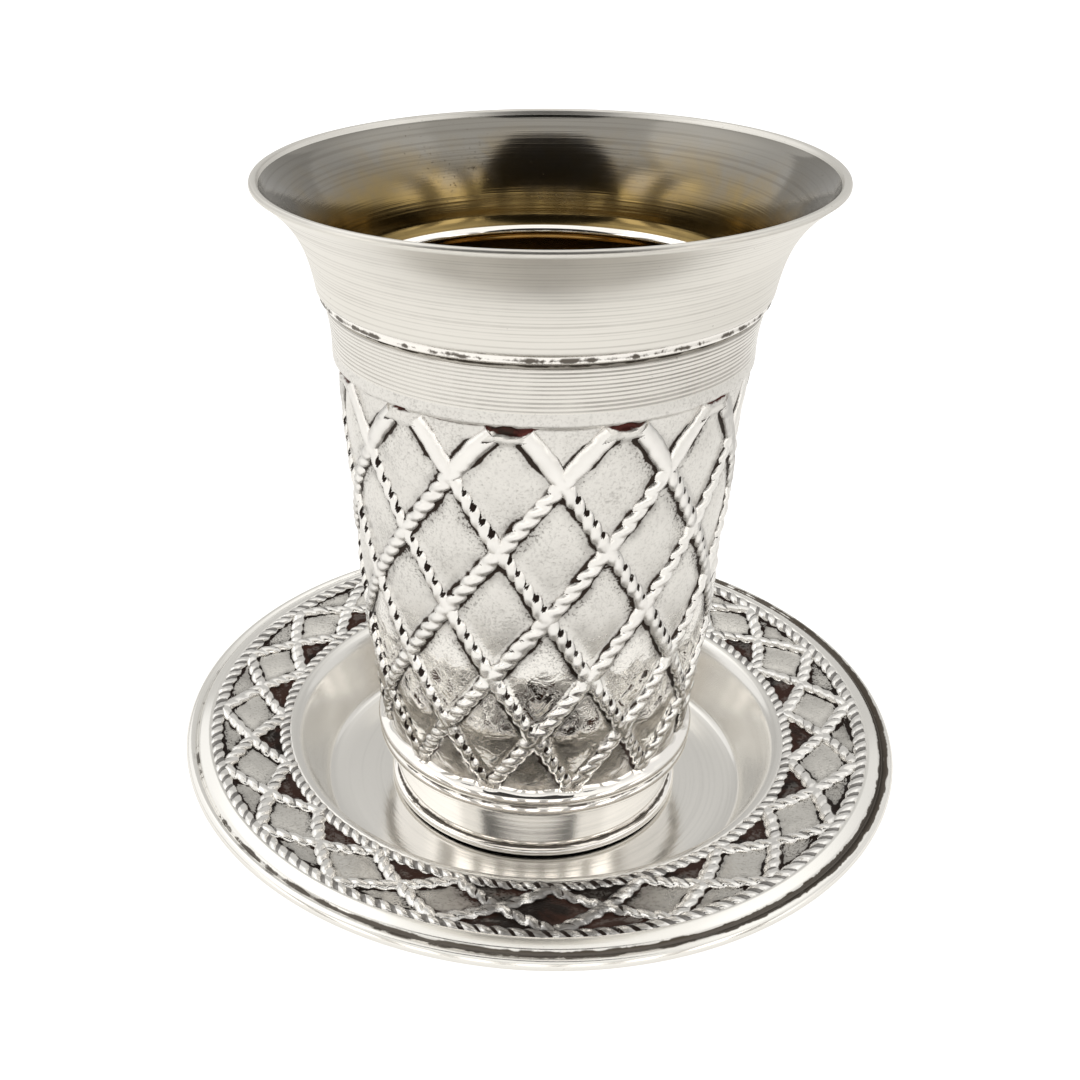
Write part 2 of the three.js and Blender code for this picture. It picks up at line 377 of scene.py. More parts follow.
class TreeBench:
    """Adds nodes to a tree and wires them. A source is an output or a plain value."""

    def __init__(self, tree: NodeTree) -> None:
        """Keeps the tree."""
        self.tree = tree

    def feed(self, node: Node, sources: dict[str | int, object]) -> None:
        """Feeds a node's inputs, each named or numbered, with a source of its own."""
        for name, source in sources.items():
            if isinstance(source, Wired):
                self.tree.links.new(source.socket, node.inputs[name])
            else:
                node.inputs[name].default_value = source

    def add(
        self, kind: str, sources: dict[str | int, object] | None = None, **settings: object
    ) -> Wired:
        """Adds a node.

        Args:
            kind: The node's type.
            sources: The sources of its inputs.
            **settings: Its own properties.

        Returns:
            Its first output.
        """
        node = self.tree.nodes.new(kind)
        for name, value in settings.items():
            setattr(node, name, value)
        self.feed(node, sources or {})
        return Wired(self, node.outputs[0])

    def give(self, **results: object) -> NodeTree:
        """Feeds the tree's outputs and returns the tree."""
        self.feed(self.tree.nodes.new("NodeGroupOutput"), results)
        return self.tree

    def math(self, operation: str, *values: object, clamp: bool = False) -> Wired:
        """Adds a Math node and gives its output, kept to 0 to 1 if it is clamped."""
        sources = dict(enumerate(values))
        return self.add("ShaderNodeMath", sources, operation=operation, use_clamp=clamp)

    def most(self, first: object, *others: object) -> Wired:
        """The largest of several values."""
        for other in others:
            first = self.math("MAXIMUM", first, other)
        return first

    def vector(self, operation: str, *values: object) -> Wired:
        """Adds a Vector Math node and gives its number if it measures something, or its vector."""
        result = self.add("ShaderNodeVectorMath", dict(enumerate(values)), operation=operation)
        return result["Value"] if operation in ("LENGTH", "DISTANCE", "DOT_PRODUCT") else result

    def scaled(self, vector: Wired, scale: object) -> Wired:
        """A vector times a number."""
        return self.add("ShaderNodeVectorMath", {0: vector, "Scale": scale}, operation="SCALE")

    def split(self, vector: Wired) -> Wired:
        """Splits a vector into outputs named X, Y and Z."""
        return self.add("ShaderNodeSeparateXYZ", {0: vector})

    def place(self) -> Wired:
        """Place of the shaded point on its piece, in metres."""
        return self.add("ShaderNodeTexCoord")["Object"]

    def height(self) -> Wired:
        """Height of the shaded point, in metres."""
        return self.split(self.place())["Z"]

    def noise(self, scale: object, at: Wired | None = None, **inputs: float) -> Wired:
        """Adds a noise, read at the place on the piece unless another is given."""
        sources = {"Vector": at or self.place(), "Scale": scale, **inputs}
        return self.add("ShaderNodeTexNoise", sources, noise_dimensions="3D")["Fac"]

    def span(
        self, value: Wired, low: object, high: object, to_low: float = 0.0, to_high: float = 1.0
    ) -> Wired:
        """Eases a value from one range to another.

        Args:
            value: The value.
            low: Where the result is to_low.
            high: Where the result is to_high.
            to_low: Result at the low end.
            to_high: Result at the high end.

        Returns:
            The eased value.
        """
        names = ("Value", "From Min", "From Max", "To Min", "To Max")
        sources = dict(zip(names, (value, low, high, to_low, to_high)))
        return self.add("ShaderNodeMapRange", sources, interpolation_type="SMOOTHSTEP")["Result"]

    def blend(self, share: Wired, first: object, second: object) -> Wired:
        """Mixes two colours by the second one's share."""
        sources = {0: share, 6: first, 7: second}
        return self.add("ShaderNodeMix", sources, data_type="RGBA", clamp_factor=True)[2]

    def capture(self, geometry: Wired, kind: str, name: str, value: Wired) -> Wired:
        """Keeps a value on the points of a geometry as they are now.

        Args:
            geometry: The geometry.
            kind: The value's type.
            name: What to call it.
            value: The value.

        Returns:
            The geometry, beside which the value is an output of that name.
        """
        node = self.tree.nodes.new("GeometryNodeCaptureAttribute")
        node.domain = "POINT"
        node.capture_items.new(kind, name)
        self.feed(node, {"Geometry": geometry, name: value})
        return Wired(self, node.outputs["Geometry"])

    def white_to_camera(self, colour: Wired) -> Wired:
        """White where the camera looks straight at it, and a colour for all other rays."""
        return self.blend(self.add("ShaderNodeLightPath")["Is Camera Ray"], colour, WHITE)


# ---------- Twisted wire ----------


@dataclass
class WirePath:
    """The line that a wire follows."""

    points: np.ndarray  # Its points in millimetres
    twist: np.ndarray  # How far the wire has turned at each, in radians
    melted: np.ndarray  # How far its two plies have run together at each, from 0 to 1
    outward: np.ndarray  # Direction away from the surface that it lies on
    lee: float = 0.0  # How far the darkening between its plies keeps to its upper flank, from 0 to 1
    closed: bool = False  # Whether its last point joins its first


@dataclass(frozen=True)
class TwistedWire:
    """Two plies twisted together, laid along paths by Geometry Nodes."""

    radius: float  # Half the width over both plies, in millimetres
    waist: float = 0.74  # Half the thickness across the plies, as a share of the radius
    sides: int = 16  # Points round the wire's section
    melted_radius: float = 1.0  # Half the width where the plies have run together, as a share
    thinness: float = 0.4  # How much flatter than round the wire lies everywhere
    flattening: float = 0.12  # How much flatter still it is where the plies have run together
    wear: float = 0.55  # How unevenly the plies are worn and cast
    roundness: float = 1.3  # How round each ply is: 1 gives a lens, more a fuller ply
    cast_scale: float = 420.0  # Scale of the unevenness left by casting
    worn_scale: float = 130.0  # Scale of the stretches where wear has run the plies together
    worn_from: Range = (0.54, 0.68)  # Noise where such a stretch starts and is full
    flank: Range = (-0.25, 0.3)  # Rise of the wire's side where its darkening starts and is full
    crest: Range = (0.05, 0.3)  # The same for the darkening of the open crest
    facing: Range = (0.3, 0.6)  # How far a crest has to face away from the piece for it
    flank_share: float = 1.6  # Strength of the flank's darkening
    crest_share: float = 0.72  # Strength of the crest's darkening

    @property
    def height(self) -> float:
        """Height of the crests over the wire's middle, in millimetres."""
        return self.radius * (1 - self.thinness)

    def inputs(self, finish: Material) -> dict[str, tuple[str, object]]:
        """Named inputs of the node tree, each with its type and this wire's value."""
        return {
            "Radius": ("NodeSocketFloat", self.radius * MM),
            "Waist": ("NodeSocketFloat", self.waist),
            "Sides": ("NodeSocketInt", self.sides),
            "Melted Radius": ("NodeSocketFloat", self.melted_radius),
            "Thinness": ("NodeSocketFloat", self.thinness),
            "Flattening": ("NodeSocketFloat", self.flattening),
            "Wear": ("NodeSocketFloat", self.wear),
            "Finish": ("NodeSocketMaterial", finish),
        }

    def tree(self, inputs: dict[str, tuple[str, object]]) -> NodeTree:
        """Builds the node tree.

        Args:
            inputs: Its named inputs.

        Returns:
            The tree.
        """
        tree = bpy.data.node_groups.new("twisted wire", "GeometryNodeTree")
        sockets = tree.interface
        sockets.new_socket("Paths", in_out="INPUT", socket_type="NodeSocketGeometry")
        sockets.new_socket("Wire", in_out="OUTPUT", socket_type="NodeSocketGeometry")
        for name, (kind, _) in inputs.items():
            sockets.new_socket(name, in_out="INPUT", socket_type=kind)
        bench = TreeBench(tree)
        given = bench.add("NodeGroupInput")
        radius, waist, wear = given["Radius"], given["Waist"], given["Wear"]
        here = bench.add("GeometryNodeInputPosition")
        twist, melted, lee, outward = (
            bench.add("GeometryNodeInputNamedAttribute", {"Name": mark.value}, data_type=kind)
            for mark, kind in (
                (Mark.TWIST, "FLOAT"),
                (Mark.MELTED, "FLOAT"),
                (Mark.LEE, "FLOAT"),
                (Mark.OUTWARD, "FLOAT_VECTOR"),
            )
        )

        # The line, turned as it goes, with its middle kept for later
        line = bench.add("GeometryNodeMeshToCurve", {"Mesh": given["Paths"]})
        line = bench.add("GeometryNodeSetCurveTilt", {"Curve": line, "Tilt": twist})
        line = bench.capture(line, "VECTOR", "Middle", here)
        middle = line["Middle"]

        # The section: two round plies side by side, pinched at the waist between them
        sides = {"Resolution": given["Sides"], "Radius": 1.0}
        section = bench.add("GeometryNodeCurvePrimitiveCircle", sides, mode="RADIUS")
        lobe = bench.math("POWER", bench.math("ABSOLUTE", bench.split(here)["X"]), self.roundness)
        pinched = bench.scaled(here, (lobe * (1 - waist) + waist) * radius)
        shaped = {"Geometry": section, "Position": pinched}
        section = bench.add("GeometryNodeSetPosition", shaped)
        swept = {"Curve": line, "Profile Curve": section, "Fill Caps": True}
        wire = bench.add("GeometryNodeCurveToMesh", swept)

        # Where the plies have run together, the wire is a flat smooth bar
        spoke = bench.vector("SUBTRACT", here, middle)
        reach = bench.vector("LENGTH", spoke)
        swelling = (bench.noise(self.cast_scale, here) - 0.5) * wear
        worn = bench.span(bench.noise(self.worn_scale, middle), *self.worn_from) * wear
        bar = bench.most(melted, worn)
        even = radius * given["Melted Radius"] / bench.most(reach, HAIR)
        stretched = bench.scaled(spoke, bar * (even - 1) + 1 + swelling)
        flat = bar * given["Flattening"] + given["Thinness"]
        press = bench.scaled(outward, flat * bench.vector("DOT_PRODUCT", stretched, outward))
        pressed = bench.vector("SUBTRACT", stretched, press)

        # How deep each point lies between the plies, kept before the points move
        valley = (1 - reach / radius) / (1 - waist)
        ray = bench.vector("NORMALIZE", spoke)
        rise = bench.split(ray)["Z"]
        on_flank = lee * self.flank_share * bench.span(rise, *self.flank)
        facing = bench.span(bench.vector("DOT_PRODUCT", ray, outward), *self.facing)
        on_crest = (1 - lee) * self.crest_share * (bench.span(rise, *self.crest) * facing)
        open_valley = valley * (on_flank + on_crest)
        shown = bench.math("MULTIPLY", open_valley, 1 - melted, clamp=True)
        wire = bench.capture(wire, "FLOAT", "Valley", shown)
        depth = wire["Valley"]

        moved = {"Geometry": wire, "Position": bench.vector("ADD", middle, pressed)}
        wire = bench.add("GeometryNodeSetPosition", moved)
        kept = {"Geometry": wire, "Name": Mark.VALLEY.value, "Value": depth}
        wire = bench.add("GeometryNodeStoreNamedAttribute", kept, data_type="FLOAT", domain="POINT")
        wire = bench.add("GeometryNodeSetShadeSmooth", {"Geometry": wire})
        wire = bench.add("GeometryNodeRealizeInstances", {"Geometry": wire})
        dressed = {"Geometry": wire, "Material": given["Finish"]}
        return bench.give(Wire=bench.add("GeometryNodeSetMaterial", dressed))

    def lay(self, name: str, paths: Sequence[WirePath], finish: Material) -> Object:
        """Lays the wire along its paths and turns the result into a plain mesh.

        Args:
            name: The piece's name.
            paths: The lines that it follows.
            finish: Its material.

        Returns:
            The piece.
        """
        lines = bpy.data.meshes.new(f"{name}_paths")
        edges: list[tuple[int, int]] = []
        offset = 0
        for path in paths:
            end = offset + len(path.points) - 1
            edges += [(i, i + 1) for i in range(offset, end)]
            if path.closed:
                edges.append((end, offset))
            offset = end + 1
        lines.from_pydata((np.concatenate([p.points for p in paths]) * MM).tolist(), edges, [])
        store(lines, Mark.TWIST, np.concatenate([p.twist for p in paths]))
        store(lines, Mark.MELTED, np.concatenate([p.melted for p in paths]))
        store(lines, Mark.LEE, np.concatenate([np.full(len(p.points), p.lee) for p in paths]))
        store(lines, Mark.OUTWARD, np.concatenate([p.outward for p in paths]))

        carrier = piece_from(lines, ())
        carrier.name = name
        inputs = self.inputs(finish)
        maker = carrier.modifiers.new("wire", "NODES")
        maker.node_group = self.tree(inputs)
        for item in maker.node_group.interface.items_tree:
            if item.in_out == "INPUT" and item.name in inputs:
                maker[item.identifier] = inputs[item.name][1]
        ready = carrier.evaluated_get(bpy.context.evaluated_depsgraph_get())
        mesh = bpy.data.meshes.new_from_object(ready)
        mesh.name = name
        carrier.modifiers.clear()
        carrier.data = mesh
        face_outwards(mesh)
        return carrier


# ---------- Shared effects ----------


def spaced(values: dict[str, object]) -> dict[str, object]:
    """The same values with spaces for the underscores in their names."""
    return {name.replace("_", " "): value for name, value in values.items()}


class Effects:
    """Effects that several finishes share, each a shader node group built once."""

    def __init__(self) -> None:
        """Builds every group."""
        self.turning = self._turning()
        self.pits = self._pits()
        self.clouds = self._clouds()

    @staticmethod
    def _group(name: str, outputs: Sequence[str], **inputs: float) -> tuple[TreeBench, Wired]:
        """Starts a shader node group.

        Args:
            name: The group's name.
            outputs: Its number outputs.
            **inputs: First values of its number inputs, with underscores for spaces.

        Returns:
            A bench on the group's tree and the node that gives its inputs.
        """
        tree = bpy.data.node_groups.new(name, "ShaderNodeTree")
        for key, value in spaced(inputs).items():
            socket = tree.interface.new_socket(key, in_out="INPUT", socket_type="NodeSocketFloat")
            socket.default_value = value
        for key in outputs:
            tree.interface.new_socket(key, in_out="OUTPUT", socket_type="NodeSocketFloat")
        bench = TreeBench(tree)
        return bench, bench.add("NodeGroupInput")

    def _turning(self) -> NodeTree:
        """Fine rings that a lathe tool and buffing leave: their height and the deeper ones."""
        bench, given = self._group(
            "turning lines",
            ("Height", "Deep"),
            Lines_Per_Metre=2500.0, Along_Axis=1.0, Wander=0.02, Evenness=0.0,
        )
        parts = bench.split(bench.place())
        flat = bench.add("ShaderNodeCombineXYZ", {"X": parts["X"], "Y": parts["Y"]})
        upright = given["Along Axis"]
        across = bench.vector("LENGTH", flat) * (1 - upright)
        along = (parts["Z"] * upright + across) * given["Lines Per Metre"]
        line = bench.add("ShaderNodeCombineXYZ", {"Z": along})
        drift = bench.scaled(bench.vector("NORMALIZE", flat), given["Wander"])
        rings = bench.noise(1.0, bench.vector("ADD", line, drift), Detail=3.0, Roughness=0.65)
        wave = bench.math("SINE", along * TURN)
        height = wave * given["Evenness"] * 0.3 + rings
        return bench.give(Height=height, Deep=bench.span(height, 0.52, 0.34))

    def _pits(self) -> NodeTree:
        """Small pits in cast or worn silver, gathered in drifts, as a mask."""
        bench, given = self._group("casting pits", ("Mask",), Scale=2200.0, Drift=90.0, Cover=0.5)
        fine = bench.noise(given["Scale"], Detail=2.0)
        level = bench.noise(given["Drift"], Detail=3.0) * 0.5 + given["Cover"] * 0.5
        return bench.give(Mask=bench.span(fine + level, 1.02, 1.16))

    def _clouds(self) -> NodeTree:
        """Soft uneven clouds of tarnish, as a mask."""
        bench, given = self._group("tarnish clouds", ("Mask",), Scale=160.0, Low=0.4, High=0.65)
        noise = bench.noise(given["Scale"], Detail=5.0, Roughness=0.62, Distortion=0.3)
        return bench.give(Mask=bench.span(noise, given["Low"], given["High"]))


# ---------- Finishes ----------


class Finish(TreeBench):
    """A new material with its Principled shader, and a bench to work on it."""

    def __init__(self, name: str, **inputs: object) -> None:
        """Starts the material.

        Args:
            name: Its name.
            **inputs: Sources of the shader's inputs, with underscores for spaces.
        """
        self.material = bpy.data.materials.new(name)
        self.material.use_nodes = True
        super().__init__(self.material.node_tree)
        self.dress(**inputs)

    def dress(self, **inputs: object) -> Material:
        """Feeds the shader's inputs and returns the material."""
        self.feed(self.tree.nodes["Principled BSDF"], spaced(inputs))
        return self.material

    def effect(self, group: NodeTree, **inputs: object) -> Wired:
        """Places a shared effect, with its inputs by name, and gives its first output."""
        return self.add("ShaderNodeGroup", spaced(inputs), node_tree=group)

    def mark(self, mark: Mark) -> Wired:
        """Reads one of the piece's attributes."""
        return self.add("ShaderNodeAttribute", attribute_name=mark.value)["Fac"]

    def bump(self, height: Wired, distance: float, strength: float) -> Wired:
        """Normal with fine relief, whose full height is a distance in metres."""
        sources = {"Height": height, "Distance": distance, "Strength": strength}
        return self.add("ShaderNodeBump", sources)["Normal"]

    def clamped(self, first: Wired, second: Wired) -> Wired:
        """The sum of two values, kept to 0 to 1."""
        return self.math("ADD", first, second, clamp=True)


@dataclass(frozen=True)
class PanelSilver:
    """Satin panels between the wires, tarnished and painted with shade in their corners."""

    name: str  # The material's name
    bright: Colour = (0.8, 0.785, 0.755, 1)  # Colour of the clean metal
    # Colour of the clean metal low down, where it is polished
    polished: Colour = (0.98, 0.96, 0.925, 1)
    dull: Colour = (0.045, 0.034, 0.028, 1)  # Colour of the tarnish, the painted shade and the painted dark reflections
    pocket: Colour = (0.12, 0.04, 0.034, 1)  # Colour of the heaviest stains and of the painted shadow and reflection in the pockets
    line: Range = (0.72, 0.86)  # How near a wire the dark line along it starts and is full
    wander: float = 0.2  # How unevenly that line runs
    line_shade: float = 0.92  # How dark that line is
    over_line: float = 0.85  # Strength of the line above a wire, as a share
    halo_shade: float = 0.5  # How dark the softer tarnish and painted shade beside it are
    over_halo: float = 0.8  # Strength of that darkening above a wire, as a share
    cloud: float = 0.05  # How strongly clouds of tarnish show over a whole panel
    grain_shade: float = 0.13  # How dark the grain of the surface is
    stained: float = 0.9  # How strongly the stained places darken, painted dark reflections among them
    gloss_below: float = 0.035  # Height in metres under which the panels are polished
    gloss_edge: float = 0.006  # Half the height over which they turn to satin
    satin: float = 0.32  # Roughness of the satin
    polish: float = 0.04  # Roughness of the polished part
    relief: float = 0.00003  # Height of the grain in metres
    hammered: float = 4.0  # Height of the hammer's marks in the polished part, as a multiple of it

    def make(self, effects: Effects) -> Material:
        """Builds the material."""
        bench = Finish(self.name, Metallic=1.0)
        clouds = bench.effect(effects.clouds, Scale=260.0, Low=0.35, High=0.7)
        tint = bench.effect(effects.clouds, Scale=130.0, Low=0.42, High=0.54)
        pits = bench.effect(effects.pits, Scale=3200.0, Drift=160.0, Cover=0.42)
        grain = bench.noise(2600.0, Detail=3.0)
        recess = bench.mark(Mark.RECESS)
        wander = (clouds - 0.5) * self.wander
        under, over = recess + wander, bench.mark(Mark.LEDGE) + wander

        # Tarnish with painted shade beside the wires, specks, and stains and pockets that also
        # carry painted reflection and shadow
        over_line = bench.span(over, *self.line) * self.over_line
        line = bench.most(bench.span(under, *self.line), over_line)
        over_halo = bench.span(over, 0.25, 0.95) * self.over_halo
        halo = bench.most(bench.span(under, 0.1, 0.9), over_halo) * (clouds * 0.6 + 0.4)
        dirt_and_shade = line * self.line_shade + halo * self.halo_shade + clouds * self.cloud
        speck = pits * (recess * 0.6 + 0.16) + bench.span(grain, 0.48, 0.7) * self.grain_shade
        pocket = bench.span(bench.mark(Mark.POCKET) + wander, 0.42, 0.58)
        stain = bench.most(bench.mark(Mark.STAIN) * self.stained, pocket)
        total = bench.clamped(dirt_and_shade, speck + stain)
        tarnish_and_shade = bench.blend(stain * tint, self.dull, self.pocket)

        # Satin above, polished below
        edges = (self.gloss_below - self.gloss_edge, self.gloss_below + self.gloss_edge)
        satin = bench.span(bench.height(), *edges)
        clean = bench.blend(satin, self.polished, self.bright)
        rough = satin * (self.satin - self.polish) + self.polish
        marks = bench.noise(420.0, Distortion=1.5) * (1 - satin) * self.hammered
        relief = (grain - pits * 0.8) * satin + marks
        return bench.dress(
            Base_Color=bench.blend(total, clean, tarnish_and_shade),
            Roughness=bench.clamped(total * 0.25, rough),
            Normal=bench.bump(relief, self.relief, 0.7),
        )


@dataclass(frozen=True)
class TurnedSilver:
    """Silver finished on a lathe, with fine rings and a few pits."""

    name: str  # The material's name
    bright: Colour = (0.8, 0.785, 0.755, 1)  # Colour of the clean metal
    dull: Colour = (0.09, 0.075, 0.06, 1)  # Colour in the rings and pits
    lines: float = 1500.0  # Fine rings in a metre
    # 1 where the rings stack up the cup, 0 where they lie flat round its middle
    along_axis: float = 1.0
    rough: float = 0.2  # Roughness of the metal
    ring_shade: float = 0.5  # How much the deeper rings darken
    pit_shade: float = 0.6  # How much the pits darken
    crease_shade: float = 0.93  # How much the creases darken
    relief: float = 0.00002  # Height of the rings in metres
    evenness: float = 0.0  # How evenly the rings are spaced

    def make(self, effects: Effects) -> Material:
        """Builds the material."""
        bench = Finish(self.name, Metallic=1.0)
        rings = bench.effect(
            effects.turning,
            Lines_Per_Metre=self.lines, Along_Axis=self.along_axis, Wander=0.25,
            Evenness=self.evenness,
        )
        pits = bench.effect(effects.pits, Scale=2600.0, Drift=70.0, Cover=0.02)
        clouds = bench.effect(effects.clouds, Scale=45.0, Low=0.4, High=0.75)
        mottle = bench.effect(effects.clouds, Scale=380.0, Low=0.38, High=0.62)
        ringed = rings["Deep"] * (clouds * 0.7 + 0.3) * self.ring_shade
        crease = bench.span(mottle * 0.4 + bench.mark(Mark.STAIN), 0.6, 0.88)
        marked = bench.clamped(pits * self.pit_shade, crease * self.crease_shade + ringed)
        return bench.dress(
            Base_Color=bench.blend(marked, self.bright, self.dull),
            Roughness=marked * 0.3 + self.rough,
            Normal=bench.bump(rings - pits, self.relief, 0.8),
        )


@dataclass(frozen=True)
class GiltLining:
    """The inside: brushed silver under the lip that turns to worn gilding lower down."""

    name: str = "gilt lining"  # The material's name
    silver: Colour = (0.26, 0.248, 0.225, 1)  # Colour of the silver, darkened as painted shade inside the cup
    gilt: Colour = (0.3, 0.215, 0.085, 1)  # Colour of the gilding, darkened as painted shade inside the cup
    worn: Colour = (0.05, 0.033, 0.017, 1)  # Colour of its worn dark patches
    gilt_from: Range = (0.089, 0.08)  # Heights in metres where the gilding starts and is full
    # Colour of the gilding low down, where it is less worn
    low_gilt: Colour = (0.62, 0.46, 0.22, 1)
    low_from: Range = (0.074, 0.072)  # Heights in metres where that colour starts and is full
    uneven: float = 0.003  # How far clouds of tarnish lower the gilding's edge, in metres
    rough: float = 0.12  # Roughness of the metal
    relief: float = 0.00003  # Height of the brushing in metres

    def make(self, effects: Effects) -> Material:
        """Builds the material."""
        bench = Finish(self.name, Metallic=1.0)
        clouds = bench.effect(effects.clouds, Scale=120.0, Low=0.35, High=0.7)
        rings = bench.effect(effects.turning, Lines_Per_Metre=2600.0, Wander=0.3)
        pits = bench.effect(effects.pits, Scale=2200.0, Drift=60.0, Cover=0.12)
        height = bench.height()
        gilded = bench.span(clouds * self.uneven + height, *self.gilt_from)
        gilding = bench.blend(bench.span(height, *self.low_from), self.gilt, self.low_gilt)
        marks = rings["Deep"] * 0.2 + pits * 0.5
        worn = bench.clamped(clouds * gilded * 0.3, marks)
        metal = bench.blend(gilded, self.silver, gilding)
        return bench.dress(
            Base_Color=bench.blend(worn, metal, self.worn),
            Roughness=worn * 0.3 + self.rough,
            Normal=bench.bump(rings, self.relief, 0.8),
        )


@dataclass(frozen=True)
class WireSilver:
    """Bright worn wire, darkened between its plies, with patches of painted dark reflection round
    one place.
    """

    name: str  # The material's name
    bright: Colour = (0.94, 0.925, 0.9, 1)  # Colour of the worn crests
    dark: Colour = (0.03, 0.022, 0.019, 1)  # Colour of the darkening between the plies and of the painted dark reflection
    reach: float = 0.8  # Depth between the plies where the darkening starts
    rough: float = 0.3  # Roughness of the crests
    # Heights in metres between which the low polish turns to that roughness
    polished: Range = (0.026, 0.038)
    shade: float = 0.97  # How dark the gaps between the plies are made
    dark_reflection: float = 0.0  # How strongly patches of painted dark reflection show round one place
    dark_reflection_at: tuple[float, float, float] = (0.0028, -0.0405, 0.0105)  # That place, in metres
    dark_reflection_reach: float = 0.016  # How far they reach, in metres
    relief: float = 0.00006  # Height of the grain in metres

    def make(self, effects: Effects) -> Material:
        """Builds the material."""
        bench = Finish(self.name, Metallic=1.0)
        clouds = bench.effect(effects.clouds, Scale=220.0, Low=0.3, High=0.75)
        start = clouds * -0.5 + self.reach
        between = bench.span(bench.mark(Mark.VALLEY), start, start + 0.12)
        # Patches of painted dark reflection round one place at the saucer's front
        away = bench.vector("DISTANCE", bench.place(), self.dark_reflection_at)
        painted_reflection = bench.span(away, self.dark_reflection_reach, 0.4 * self.dark_reflection_reach, 0.0, self.dark_reflection)
        patches = bench.effect(effects.clouds, Scale=520.0, Low=0.36, High=0.52)
        veil = bench.clamped(clouds * 0.06, between * self.shade + painted_reflection * patches)
        rough = bench.span(bench.height(), *self.polished, 0.25 * self.rough, self.rough)
        return bench.dress(
            Base_Color=bench.blend(veil, self.bright, self.dark),
            Roughness=veil * 0.35 + rough,
            Normal=bench.bump(bench.noise(900.0), self.relief, 0.6),
        )


# ---------- Cup ----------


